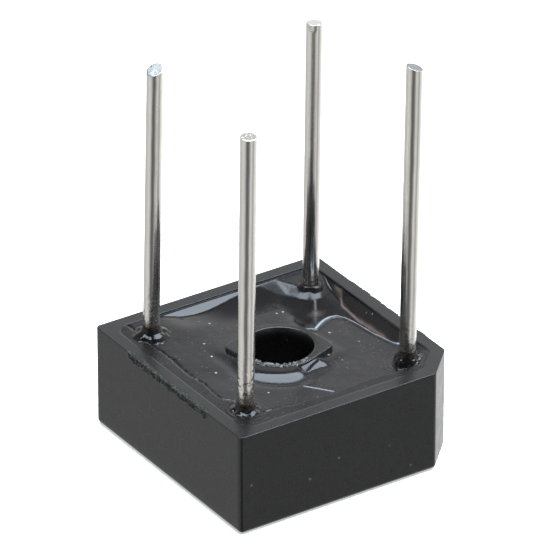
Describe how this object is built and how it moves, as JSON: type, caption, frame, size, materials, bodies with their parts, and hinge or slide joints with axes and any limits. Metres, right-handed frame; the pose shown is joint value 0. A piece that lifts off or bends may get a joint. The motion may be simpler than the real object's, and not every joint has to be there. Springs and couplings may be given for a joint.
{
  "type": "bridge rectifier",
  "caption": "Square potted bridge rectifier with a cut corner, a central screw hole and long round wire leads, turning alternating current into direct current.",
  "frame": {"origin": "centre of the flat mounting face, on the axis of the screw hole", "axes": "+Z along the leads, away from the mounting face; the cut corner, beside the positive lead, is at +X -Y"},
  "size_m": [0.0156, 0.0154, 0.0254],
  "materials": {
    "case_plastic": "matte moulded black thermoset",
    "potting_epoxy": "semi-gloss black epoxy with fine dust",
    "tinned_wire": "bright tinned copper wire with drawing marks",
    "copper": "bare rolled copper",
    "solder": "dull solder",
    "silicon": "grey silicon with a metallised face"
  },
  "bodies": {
    "root": {"case": "case_plastic", "potting_compound": "potting_epoxy", "lead_positive": "tinned_wire", "lead_negative": "tinned_wire", "lead_ac_1": "tinned_wire", "lead_ac_2": "tinned_wire", "plate_positive": "copper", "plate_negative": "copper", "plate_ac_1": "copper", "plate_ac_2": "copper", "diode_chip_1": "silicon", "diode_chip_2": "silicon", "diode_chip_3": "silicon", "diode_chip_4": "silicon", "solder_chip_1_lower": "solder", "solder_chip_2_lower": "solder", "solder_chip_3_lower": "solder", "solder_chip_4_lower": "solder", "solder_chip_1_upper": "solder", "solder_chip_2_upper": "solder", "solder_chip_3_upper": "solder", "solder_chip_4_upper": "solder", "solder_lead_positive": "solder", "solder_lead_negative": "solder", "solder_lead_ac_1": "solder", "solder_lead_ac_2": "solder"}
  },
  "joints": []
}
